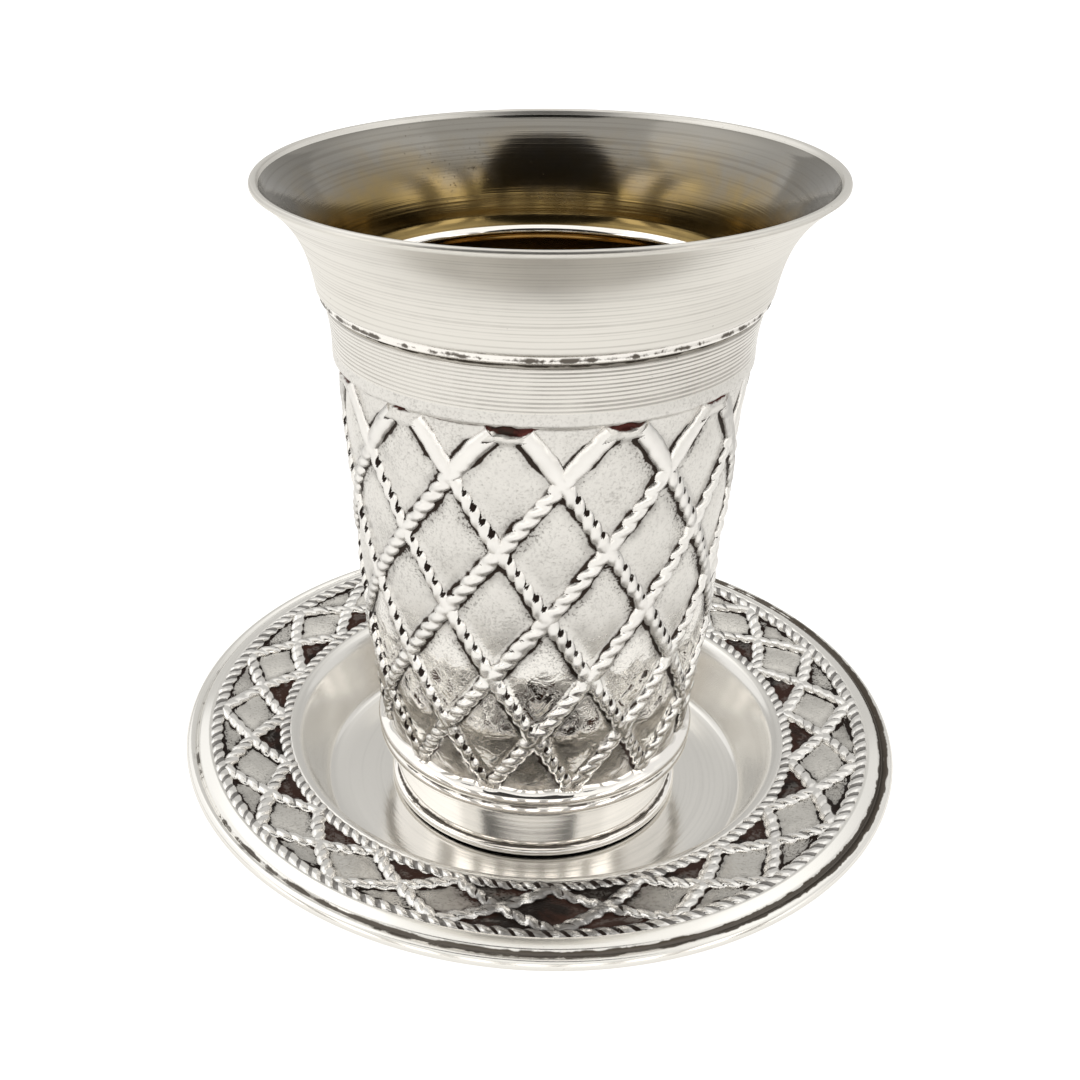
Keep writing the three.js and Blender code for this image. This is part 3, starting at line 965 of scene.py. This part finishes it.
@dataclass
class Cup:
    """The cup: a foot, a tapering body worked with a lattice, a band and a flared lip.

    Sizes are in millimetres. Radii of the body are those of the crests of the wires. A range is
    the two values between which something eases or varies.
    """

    foot_z: float = 1.0
    bore_radius: float = 18.4
    hollow_z: float = 8.4
    floor_z: float = 9.8
    bead_radius: float = 20.7
    bead_high: float = 2.0
    band_low_radius: float = 19.75
    band_high_radius: float = 20.9
    band_high: float = 8.7
    ledge_z: float = 12.1
    lattice_low: float = 12.5
    lattice_high: float = 68.7
    squeeze_above: float = 63.0
    lattice_top: float = 67.6
    scallop_z: float = 65.2
    pocket_half_width: float = 0.22
    pocket_arch: float = 1.1
    # Size of each column's pocket, cut into the sheet and darkened with stain, painted shadow and
    # painted reflection
    pockets: tuple[float, ...] = (0.3, 0.7, 0.2, 0.9, 0.4, 0.2, 0.8, 0.1, 1.0, 0.6, 0.3, 0.5)
    pocket_depth: float = 1.15
    pocket_edge: float = 1.2
    pocket_wall: Range = (0.35, 0.75)
    pocket_gap: float = 0.4
    levelling: float = 1.8
    levelled: float = 0.7
    first_row_stain: float = 0.2
    darker_above: Range = (60.0, 61.5)
    darker_by: float = 0.35
    top_radius: float = 26.5
    taper: float = 0.066
    curl_z: float = 30.0
    curl: float = 0.0042
    wall: float = 1.5
    groove_radius: float = 26.85
    flare_low_z: float = 76.0
    flare_high_z: float = 89.0
    flare_radii: tuple[float, float, float] = (28.3, 2.4, 4.9)
    lip_z: float = 89.6
    lip_wall: float = 1.0
    step_radius: float = 25.9
    band_z: float = 66.8
    band_edge: float = 0.3
    band_proud: float = 0.2
    beads_per_gap: float = 5.5
    rings_per_gap: int = 40
    wire_over: float = 0.35
    melted: Range = (0.35, 1.0)
    crossing: Range = (0.07, 0.19)
    smooth_top: Range = (4.95, 5.2)
    creases: Sequence[Crease] = (
        (19.75, 2.1, 0.35, 1.0),
        (21.0, 8.85, 0.25, 1.0),
        (22.0, 10.7, 0.35, 1.0),
        (26.85, 74.43, 0.26, 1.1),
        (28.0, 75.3, 0.4, 0.62),
    )
    wire: TwistedWire = TwistedWire(radius=1.1, melted_radius=1.15, thinness=0.36, flattening=0.2)
    lattice: Lattice = Lattice(
        around=12, rows=6, start=14.2, lean=8.5, lines=24, edge_depth=0.78, middle_depth=0.4,
        skirt=0.085, ridge=0.5, ledges=(0.35, 0.9),
    )

    def body_radius(self, z: Spread) -> Spread:
        """Radius of the crests of the wires at a height."""
        curl = self.curl * np.maximum(0, self.curl_z - z) ** 2
        return self.top_radius - self.taper * (self.lattice_high - z) - curl

    def flare_radius(self, z: float) -> float:
        """Radius of the flared lip at a height."""
        share = (z - self.flare_low_z) / (self.flare_high_z - self.flare_low_z)
        start, slope, curl = self.flare_radii
        return start + slope * share + curl * share**3

    def height(self, across: np.ndarray) -> np.ndarray:
        """Height of a place on the lattice, squeezed a little under the band."""
        even = self.lattice_low + (self.lattice_high - self.lattice_low) * across
        squeeze = (self.lattice_top - self.squeeze_above) / (self.lattice_high - self.squeeze_above)
        return even - (1 - squeeze) * np.maximum(0, even - self.squeeze_above)

    def pocket(self, u: np.ndarray, v: np.ndarray, z: np.ndarray) -> np.ndarray:
        """How far a place lies inside a pocket or the crease under the band, 0.5 at the edge."""
        middle = (u + v) / 2
        nearest = np.round(middle)
        aside = np.abs(middle - nearest) / self.pocket_half_width
        filled = 1 - np.take(self.pockets, nearest.astype(int), mode="wrap")
        low = self.scallop_z + filled + self.pocket_arch * aside**2
        # The crease under the band's edge, cut in and painted dark as painted shadow
        low = np.minimum(low, self.band_z - self.pocket_gap)
        return np.clip(0.5 + (z - low) / self.pocket_edge, 0, 1)

    def _hollow(self) -> list[OutlinePoint]:
        """Outline of the hollow under the cup, from near its middle to the foot's underside."""
        return [
            (9.0, self.hollow_z), (18.4, self.hollow_z), (18.95, 8.2), (19.0, 7.8),
            *straight((19.0, 7.8), (self.bore_radius, 1.5), 4),
            (self.bore_radius + 0.12, 1.15),
            (self.bore_radius + 0.4, self.foot_z),
            (19.6, self.foot_z),
        ]

    def _foot(self) -> list[OutlinePoint]:
        """Outline of the foot from its bead up to the lattice."""
        bead = (self.bead_high - self.foot_z) / 2
        crease = (self.band_low_radius, self.bead_high + 0.1)
        shoulder = (self.band_high_radius, self.band_high)
        return [
            *arc((self.bead_radius - bead, self.foot_z + bead), bead, -90, 75, 9),
            (self.band_low_radius + 0.08, self.bead_high),
            crease,
            *straight(crease, shoulder, 14),
            *arc((self.band_high_radius + 0.5, self.band_high + 1.05), 0.9, -60, 60, 11),
            *arc((self.band_high_radius + 0.6, self.ledge_z - 0.65), 0.95, -30, 45, 8),
        ]

    def _outside(self) -> list[tuple[list[OutlinePoint], Zone]]:
        """Outlines of the band with its groove, the bulge over it, and the flare with its lip."""
        low, high = 68.5, 74.0
        band = [
            (26.42 + self.band_proud + 0.78 * ((z - 68.4) / 5.7) ** 2, z)
            for z in np.linspace(low, high, 16)
        ]
        groove = [
            (27.28, 74.15), (27.05, 74.25), (self.groove_radius, 74.37),
            (self.groove_radius, 74.5), (27.2, 74.6), (27.62, 74.72),
        ]
        bulge = [(27.85, 74.85), (27.98, 75.05), (28.0, 75.3), (27.98, 75.55), (28.02, 75.8)]
        heights = np.linspace(self.flare_low_z, self.flare_high_z, 28)
        rise = [(self.flare_radius(z), z) for z in heights]
        insets = (0.0, 0.06, 0.18, 0.35, 0.6, 0.85, 1.0)
        levels = (89.15, 89.35, 89.5, self.lip_z, self.lip_z, 89.52, 89.35)
        lip = [(rise[-1][0] - inset, z) for inset, z in zip(insets, levels)]
        return [(band + groove, Zone.BAND), (bulge, Zone.FOOT), (rise + lip, Zone.TURNED)]

    def _inside(self) -> list[tuple[list[OutlinePoint], Zone]]:
        """Outlines of the inside: the flare, the step under it, and the wall and floor."""
        heights = np.linspace(88.9, self.flare_low_z, 20)
        flare = [(self.flare_radius(z) - self.lip_wall, z) for z in heights]
        step = [
            (26.6, 75.1), (26.1, 74.8), (self.step_radius, 74.6), (self.step_radius, 74.0),
            (26.1, 73.6), (26.3, 73.2),
        ]
        heights = np.linspace(self.lattice_high, 13.6, 20)
        wall = [(float(self.body_radius(z)) - self.wall, z) for z in heights]
        floor = [(19.4, 11.3), (19.0, 10.4), (18.4, 9.95)]
        floor += [(17.4, self.floor_z), (9.0, self.floor_z)]
        return [(flare, Zone.LINING), (step, Zone.FOOT), (wall + floor, Zone.LINING)]

    def _lattice_ring(self, skin: Skin, u: np.ndarray, v: np.ndarray) -> None:
        """Adds one ring of the lattice to the body's skin, at values of u and v."""
        lattice = self.lattice
        z = self.height(lattice.across(u, v))
        cell = lattice.cell(u, v)
        whole = cell < lattice.rows
        pocket = self.pocket(u, v, z)
        rise = smooth_step(self.scallop_z - self.levelling, self.scallop_z, z)
        under_band = smooth_step(self.band_z, self.band_z - self.band_edge, z)
        depth = lattice.depth(u, v) * np.where(whole, 1 - self.levelled * rise, 1.0)
        depth += (self.pocket_depth - depth) * smooth_step(*self.pocket_wall, pocket) * whole
        depth = (depth + self.band_proud) * under_band - self.band_proud
        # Tarnish and painted shade beside the wires: gone above the scallops, stronger in the top
        # row under the band
        wired = smooth_step(self.scallop_z, self.scallop_z - 1.0, z)
        wired = wired * (1 + self.darker_by * smooth_step(*self.darker_above, z))
        skin.angles = lattice.angle(u, v)
        skin.ring(
            self.body_radius(z) - depth,
            z,
            Zone.PANELS,
            recess=lattice.recess(u, v) * wired,
            ledge=lattice.ledge(u, v) * wired,
            stain=np.where(cell == 0, self.first_row_stain, 0.0) * under_band,
            pocket=pocket * under_band,
        )

    def body(self, finishes: Sequence[Material]) -> Object:
        """Builds the body from materials for its panels, flare, foot, lining and band."""
        v = self.lattice.columns()
        skin = Skin(self.hollow_z, self.floor_z, self.lattice.angle(v, v), creases=self.creases)
        skin.follow(self._hollow() + self._foot(), Zone.FOOT)
        for u, v in self.lattice.steps():
            self._lattice_ring(skin, u, v)
        for outline, zone in self._outside() + self._inside():
            skin.follow(outline, zone)
        return piece_from(skin.mesh("cup_body"), finishes)

    def wires(self, finish: Material) -> Object:
        """Lays the twisted wire of the lattice, in the finish given."""
        lattice = self.lattice
        paths = []
        for u, v in lattice.strands(self.rings_per_gap):
            below = self.height(lattice.across(u, v)) < self.scallop_z + self.wire_over
            u, v = u[below], v[below]
            travelled, angle = u - v, lattice.angle(u, v)
            z = self.height(lattice.across(u, v))
            crossing = np.round(travelled)
            least, most = self.melted
            varied = np.mod(3 * np.round(u + v) + 2 * crossing, 5) / 4
            near = 1 - smooth_step(*self.crossing, np.abs(travelled - crossing))
            at_crossing = (least + (most - least) * varied) * near
            paths.append(
                WirePath(
                    points=around(self.body_radius(z) - self.wire.height, angle, z),
                    twist=travelled * math.pi * self.beads_per_gap,
                    melted=np.maximum(at_crossing, smooth_step(*self.smooth_top, travelled)),
                    outward=around(1.0, angle, 0.0),
                    lee=1.0 if u[0] == u[-1] else 0.0,
                )
            )
        return self.wire.lay("cup_wire", paths, finish)


# ---------- Saucer ----------


@dataclass
class Saucer:
    """The saucer: a flat well with a steep wall and a sloping border worked with a lattice.

    Sizes are in millimetres. A range is the two values between which something eases.
    """

    radius: float = 50.0
    sheet: float = 0.7
    floor_radius: float = 28.8
    wall_low: OutlinePoint = (30.4, 1.8)
    wall_high: OutlinePoint = (33.3, 8.2)
    inner_ring_radius: float = 35.9
    outer_ring_radius: float = 45.7
    inner_ring_z: float = 10.1
    outer_ring_z: float = 11.8
    border_thickness: float = 1.3
    border_edge: float = 46.6
    rim_bead_radius: float = 0.8
    rim_bead_z: float = 10.3
    lattice_outer: float = 45.1
    lattice_inner: float = 36.4
    outer_margin: tuple[float, ...] = (45.9, 45.5)
    inner_margin: tuple[float, ...] = (36.1, 35.9, 35.7)
    margin_depth: float = 0.66
    edge_line: Range = (0.2, 0.04)
    row_stains: tuple[float, float, float] = (0.15, 0.0, 0.8)
    # Strength, angle in degrees and width of a painted dark reflection on the border's front panels
    tarnish_and_shade: float = 0.95
    reflection_angle: float = -86.0
    reflection_width: float = 19.0
    # Angle in degrees towards which the rim's groove is painted darker, as painted shade
    dark_side: float = -15.0
    creases: Sequence[Crease] = (
        (48.38, 10.78, 0.42, 1.5),
        (48.95, 11.05, 0.4, 0.9),
    )
    beads_per_gap: int = 4
    rings_per_bead: int = 7
    crossing: Range = (0.03, 0.12)
    melted: float = 0.7
    inner_beads: int = 130
    outer_beads: int = 140
    wire: TwistedWire = TwistedWire(radius=1.05)
    rope: TwistedWire = TwistedWire(radius=1.02)
    lattice: Lattice = Lattice(
        around=20, rows=2, start=4.0, lean=0.0, lines=16, edge_depth=0.7, middle_depth=0.5,
        skirt=0.11, ridge=0.3, halo=0.18,
    )

    @property
    def slope(self) -> float:
        """How much the border rises in each millimetre outwards."""
        rise = self.outer_ring_z - self.inner_ring_z
        return rise / (self.outer_ring_radius - self.inner_ring_radius)

    def crest(self, radius: Spread) -> Spread:
        """Height of the crests of the border's wires."""
        return self.inner_ring_z + self.slope * (radius - self.inner_ring_radius)

    def lattice_radius(self, u: np.ndarray, v: np.ndarray) -> np.ndarray:
        """Radius of a place on the lattice."""
        width = self.lattice_inner - self.lattice_outer
        return self.lattice_outer + width * self.lattice.across(u, v)

    def front_reflection_at(self, angle: np.ndarray) -> np.ndarray:
        """How dark the panels are painted round the border: a painted dark reflection, strongest at
        one place.
        """
        away = np.angle(np.exp(1j * (angle - math.radians(self.reflection_angle))))
        return self.tarnish_and_shade * np.exp(-((away / math.radians(self.reflection_width)) ** 2))

    def _underside(self) -> list[OutlinePoint]:
        """Outline of the underside, from near the middle to the rim."""
        (low_radius, low), (high_radius, high) = self.wall_low, self.wall_high
        offset = self.sheet / math.sin(math.atan2(high - low, high_radius - low_radius))
        wall_foot, wall_head = (low_radius + offset, low), (high_radius + offset, high - 0.2)
        start, end = (
            (radius, self.crest(radius) - self.border_thickness)
            for radius in (self.inner_ring_radius, self.border_edge)
        )
        return [
            (14.0, 0.0), (self.floor_radius, 0.0), (30.0, 0.14), (30.6, 0.5),
            wall_foot,
            *straight(wall_foot, wall_head, 6),
            (34.6, 8.5),
            start,
            *straight(start, end, 8),
            (48.24, 10.1),
        ]

    def _rim(self) -> list[OutlinePoint]:
        """Outline of the rolled rim, the groove inside it and the smooth margin."""
        margin_z = self.crest(self.border_edge) - 0.3
        bead = (self.radius - self.rim_bead_radius, self.rim_bead_z)
        drops = ((48.15, 0.5), (47.8, 0.36), (47.3, 0.2), (46.8, 0.06), (46.5, 0.0))
        return [
            *arc(bead, self.rim_bead_radius, -120, 150, 22),
            (48.45, 10.72), (48.3, 10.86),
            *((radius, margin_z - drop) for radius, drop in drops),
            (46.3, self.crest(46.3) - 0.4),
        ]

    def _well(self) -> list[OutlinePoint]:
        """Outline of the well, from the border's edge to near its middle."""
        floor = (self.floor_radius, self.sheet)
        return [
            (35.3, 9.85), (34.9, 9.8), (34.5, 9.7), (34.1, 9.45), (33.75, 9.05), (33.5, 8.65),
            self.wall_high,
            *straight(self.wall_high, self.wall_low, 12),
            (30.2, 1.4), (29.9, 1.05), (29.5, 0.85),
            floor,
            *straight(floor, (4.0, self.sheet), 12),
        ]

    def _margin(self, skin: Skin, radii: Sequence[float], **marks: float) -> None:
        """Adds level rings of the given radii beside a rope, with values of their attributes."""
        for radius in radii:
            skin.ring(radius, self.crest(radius) - self.margin_depth, SaucerZone.PANELS, **marks)

    def body(self, finishes: Sequence[Material]) -> Object:
        """Builds the saucer's body under its wires.

        Args:
            finishes: Materials for the underside, the rim, the panels and the well.

        Returns:
            The piece.
        """
        lattice = self.lattice
        v = lattice.columns()
        angles = lattice.angle(v, v)
        # Painted shade: the rim's groove darkens towards one side
        side_shade = 0.7 + 0.45 * np.cos(angles - math.radians(self.dark_side))
        skin = Skin(0.0, self.sheet, angles, creases=self.creases, uneven=side_shade)
        skin.follow(self._underside(), SaucerZone.UNDERSIDE)
        skin.follow(self._rim(), SaucerZone.RIM)
        self._margin(skin, self.outer_margin, recess=0.5)
        faded, full = self.edge_line
        for u, v in lattice.steps():
            radius, across = self.lattice_radius(u, v), lattice.across(u, v)
            edge = np.clip(1 - (np.minimum(across, 1 - across) - full) / (faded - full), 0, 1)
            row = np.clip(lattice.cell(u, v), 0, lattice.rows).astype(int)
            skin.angles = lattice.angle(u, v)
            # Stains by row, and a painted dark reflection at the front
            skin.ring(
                radius,
                self.crest(radius) - lattice.depth(u, v),
                SaucerZone.PANELS,
                recess=np.maximum(lattice.recess(u, v), edge),
                ledge=lattice.ledge(u, v),
                stain=np.maximum(np.choose(row, self.row_stains), self.front_reflection_at(skin.angles)),
            )
        self._margin(skin, self.inner_margin, recess=0.6, stain=0.2)
        skin.follow(self._well(), SaucerZone.WELL)
        return piece_from(skin.mesh("saucer_body"), finishes)

    def _path(
        self, radius: np.ndarray, angle: np.ndarray, depth: float, **rest: object
    ) -> WirePath:
        """The line of a wire on the border.

        Args:
            radius: Radii of its points.
            angle: Their angles.
            depth: How far under the crests its middle lies.
            **rest: The path's other attributes.

        Returns:
            The path.
        """
        tilt = math.atan(self.slope)
        outward = around(-math.sin(tilt), angle, math.cos(tilt))
        return WirePath(around(radius, angle, self.crest(radius) - depth), outward=outward, **rest)

    def wires(self, finish: Material) -> Object:
        """Lays the wire of the border's lattice, in the finish given."""
        paths = [
            self._path(
                self.lattice_radius(u, v),
                self.lattice.angle(u, v),
                self.wire.height,
                twist=(u - v) * math.pi * self.beads_per_gap,
                melted=(1 - smooth_step(*self.crossing, np.abs(u - v - 1))) * self.melted,
            )
            for u, v in self.lattice.strands(self.beads_per_gap * self.rings_per_bead)
        ]
        return self.wire.lay("saucer_wire", paths, finish)

    def ropes(self, finish: Material) -> Object:
        """Lays the two rings of rope that edge the border, in the finish given."""
        paths = []
        for radius, beads in (
            (self.inner_ring_radius, self.inner_beads), (self.outer_ring_radius, self.outer_beads),
        ):
            count = beads * self.rings_per_bead
            share = np.arange(count) / count
            paths.append(
                self._path(
                    np.full(count, radius),
                    share * TURN,
                    self.rope.height,
                    twist=share * math.pi * beads,
                    melted=np.zeros(count),
                    lee=0.5,
                    closed=True,
                )
            )
        return self.rope.lay("saucer_rope", paths, finish)


# ---------- Studio ----------


@dataclass(frozen=True)
class Studio:
    """The camera, the pale floor and the soft light."""

    away: float = 3.3436  # Distance of the camera from the middle, in saucer radii
    high: float = 2.3650  # Height of the camera over the rim's middle, in saucer radii
    rim_share: float = 0.206  # Height of the saucer's rim, in saucer radii
    pitch: float = 26.495  # How far the camera looks down, in degrees
    yaw: float = -5.283  # How far it looks to the side
    roll: float = -1.097  # How far it is turned about its own line of sight
    lens: float = 46.163  # Focal length in millimetres on a sensor 36 wide
    shift: Range = (0.1079, -0.0402)  # Lens shift sideways and upwards, in frame widths
    flag_x: Range = (-0.08, 0.068)  # Left and right edges of the black card, in metres
    flag_y: float = -0.08  # Where the card hangs
    flag_z: Range = (0.106, 0.5)  # Its lower and upper edges
    floor_z: float = -0.0002  # Height of the floor
    floor_reach: float = 3.0  # How far the floor goes each way
    # Axis, start, end and strength of each side where the floor darkens
    floor_shades: tuple[tuple[str, float, float, float], ...] = (
        ("Y", -0.16, -0.5, 0.8),
        ("X", -0.12, -0.45, 0.4),
        ("X", 0.04, 0.26, 0.8),
    )
    # The same round the middle, where the saucer's own shade falls
    under_shade: tuple[float, float, float] = (0.1, 0.06, 0.25)
    floor_pale: Colour = (0.76, 0.745, 0.715, 1)  # What the bright floor gives off
    floor_dim: Colour = (0.42, 0.41, 0.39, 1)  # What the dark floor gives off
    room: Colour = (0.64, 0.63, 0.61, 1)  # Colour of the room's walls
    ceiling: Colour = (1.05, 1.035, 1.0, 1)  # Colour of its ceiling
    # Rise of a line of sight where the ceiling starts and is full
    ceiling_from: Range = (0.55, 0.85)
    # How far it has to turn to the front for the windows, start and full
    front: Range = (0.1, -0.5)
    windows_below: Range = (0.68, 0.42)  # Rise under which the windows start and are full
    wall: Colour = (0.4, 0.38, 0.35, 1)  # Colour of the wall between the windows
    window: Colour = (1.85, 1.8, 1.72, 1)  # Colour of the windows
    window_waves: Range = (26.0, 1.2)  # Number and offset of the windows' stripes, in radians
    window_edge: Range = (-0.45, -0.2)  # Height of the wave where a window starts and is full
    # Name, place, size and power of each soft lamp
    lamps: tuple[tuple[str, tuple[float, float, float], float, float], ...] = (
        ("key", (-0.7, 0.28, 0.6), 1.2, 1.5),
        ("fill", (0.75, 0.25, 0.55), 1.2, 0.7),
    )
    aim: tuple[float, float, float] = (0, 0, 0.045)  # Where the lamps point

    def camera(self, saucer_radius: float) -> None:
        """Places the camera, whose distances are counted in saucer radii of so many metres."""
        pitch, yaw, roll = (math.radians(angle) for angle in (self.pitch, self.yaw, self.roll))
        ahead = Vector(
            (math.sin(yaw) * math.cos(pitch), math.cos(yaw) * math.cos(pitch), -math.sin(pitch))
        )
        right = Vector((math.cos(yaw), -math.sin(yaw), 0))
        up = right.cross(ahead)
        turned_right = math.cos(roll) * right + math.sin(roll) * up
        turned_up = math.cos(roll) * up - math.sin(roll) * right
        place = Matrix((turned_right, turned_up, -ahead)).transposed().to_4x4()
        place.translation = Vector((0, -self.away, self.high + self.rim_share)) * saucer_radius
        data = bpy.data.cameras.new("studio_camera")
        data.lens, data.sensor_width = self.lens, 36.0
        data.shift_x, data.shift_y = self.shift
        data.clip_start, data.clip_end = 0.01, 20.0
        camera = bpy.data.objects.new("studio_camera", data)
        camera.matrix_world = place
        bpy.context.scene.collection.objects.link(camera)
        bpy.context.scene.camera = camera

    @staticmethod
    def _sheet(name: str, corners: list[tuple[float, float, float]]) -> Mesh:
        """Makes a flat sheet with four corners, in metres."""
        mesh = bpy.data.meshes.new(name)
        mesh.from_pydata(corners, [], [(0, 1, 2, 3)])
        return mesh

    def floor(self) -> None:
        """Lays the pale floor just under the saucer: a glow, white to the camera and for
        reflections a painted light that dims towards its sides and round the middle.
        """
        bench = Finish(
            "pale floor",
            Base_Color=(0.3, 0.3, 0.3, 1), Roughness=0.9, Specular_IOR_Level=0.0,
            Emission_Strength=1.0,
        )
        place = bench.place()
        parts = bench.split(place)
        start, end, strength = self.under_shade
        dim = bench.most(
            bench.span(bench.vector("LENGTH", place), start, end, 0.0, strength),
            *(
                bench.span(parts[axis], start, end, 0.0, strength)
                for axis, start, end, strength in self.floor_shades
            ),
        )
        sheet = bench.blend(dim, self.floor_pale, self.floor_dim)
        material = bench.dress(Emission_Color=bench.white_to_camera(sheet))
        reach = self.floor_reach
        sides = ((-reach, -reach), (reach, -reach), (reach, reach), (-reach, reach))
        mesh = self._sheet("floor", [(x, y, self.floor_z) for x, y in sides])
        piece_from(mesh, [material])

    def flag(self) -> None:
        """Hangs a black card over the camera, which darkens the bowl's far side."""
        (left, right), (low, high) = self.flag_x, self.flag_z
        sides = ((left, low), (right, low), (right, high), (left, high))
        mesh = self._sheet("flag", [(x, self.flag_y, z) for x, z in sides])
        black = Finish("black card", Base_Color=(0.012, 0.01, 0.009, 1), Roughness=0.9)
        card = piece_from(mesh, [black.material])
        card.visible_camera = False

    def light(self) -> None:
        """Lights the studio: a pale room with windows low in its front, and soft lamps."""
        world = bpy.data.worlds.new("studio")
        bpy.context.scene.world = world
        world.use_nodes = True
        bench = TreeBench(world.node_tree)
        parts = bench.split(bench.add("ShaderNodeTexCoord")["Generated"])
        ceiling = bench.span(parts["Z"], *self.ceiling_from)
        front = bench.span(parts["Y"], *self.front)
        low = bench.span(parts["Z"], *self.windows_below)
        number, offset = self.window_waves
        waves = bench.math("SINE", parts["X"] * number + offset)
        windows = bench.blend(bench.span(waves, *self.window_edge), self.wall, self.window)
        room = bench.blend(front * low, bench.blend(ceiling, self.room, self.ceiling), windows)
        backdrop = {"Color": bench.white_to_camera(room), "Strength": 1.0}
        bench.feed(world.node_tree.nodes["Background"], backdrop)
        for name, place, size, power in self.lamps:
            data = bpy.data.lights.new(name, "AREA")
            data.shape, data.size, data.energy = "DISK", size, power
            lamp = bpy.data.objects.new(name, data)
            lamp.location = place
            lamp.rotation_mode = "QUATERNION"
            lamp.rotation_quaternion = (Vector(self.aim) - lamp.location).to_track_quat("-Z", "Y")
            bpy.context.scene.collection.objects.link(lamp)
        bpy.context.scene.view_settings.view_transform = "Standard"


# ---------- Making ----------


def settle(piece: Object, slot: str, *nodes: str) -> None:
    """Fixes a finished piece to the body and says which nodes it replaces.

    Args:
        piece: The piece.
        slot: The record's material slot; not used.
        *nodes: The nodes that it stands for.
    """
    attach(piece, BODY)
    if nodes:
        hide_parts(*nodes)
    triangles = sum(len(face.vertices) - 2 for face in piece.data.polygons)
    LOG.info("%s: %d triangles", piece.name, triangles)


def main() -> None:
    """Builds and dresses the pieces in order."""
    logging.basicConfig(level=logging.INFO, format="%(message)s")
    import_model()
    saucer_low, saucer_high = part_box("saucer")
    cup_low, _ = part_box("cup")

    studio = Studio()
    studio.camera((saucer_high.x - saucer_low.x) / 2)
    studio.floor()
    studio.flag()
    studio.light()

    panels = PanelSilver("panel silver")
    flare = TurnedSilver(
        "flare silver",
        bright=(0.8, 0.78, 0.735, 1), lines=2300.0, rough=0.32, ring_shade=0.3, relief=0.00001,
        evenness=0.35,
    )
    foot = TurnedSilver(
        "foot silver",
        bright=(0.97, 0.945, 0.91, 1), rough=0.08, ring_shade=0.08, pit_shade=0.3, relief=0.000008,
    )
    band = TurnedSilver(
        "band silver",
        bright=(0.8, 0.78, 0.74, 1), lines=1900.0, ring_shade=0.7, relief=0.00003, evenness=1.0,
    )
    effects = Effects()
    cup = Cup(foot_z=cup_low.z / MM)
    finishes = [finish.make(effects) for finish in (panels, flare, foot, GiltLining(), band)]
    settle(cup.body(finishes), "cup_silver", "cup")
    settle(cup.wires(WireSilver("cup wire silver").make(effects)), "cup_silver")

    border = PanelSilver(
        "border silver",
        bright=(0.74, 0.72, 0.68, 1), dull=(0.014, 0.009, 0.007, 1),
        pocket=(0.055, 0.026, 0.019, 1), stained=1.05, line=(0.7, 0.86), wander=0.4,
        halo_shade=0.35, cloud=0.12, gloss_below=-1.0, satin=0.18,
    ).make(effects)
    well = TurnedSilver(
        "well silver", along_axis=0.0, rough=0.16, ring_shade=0.1, pit_shade=0.45
    ).make(effects)
    rim = TurnedSilver(
        "rim silver", bright=(0.9, 0.885, 0.85, 1), along_axis=0.0, rough=0.17, ring_shade=0.12
    ).make(effects)
    wire = WireSilver(
        "saucer wire silver", bright=(0.86, 0.845, 0.82, 1), shade=0.7, rough=0.2, dark_reflection=0.7
    ).make(effects)
    saucer = Saucer(radius=saucer_high.x / MM)
    settle(saucer.body([well, rim, border, well]), "saucer_silver", "saucer")
    settle(saucer.wires(wire), "saucer_silver")
    settle(saucer.ropes(wire), "saucer_silver")


if __name__ == "__main__":
    main()
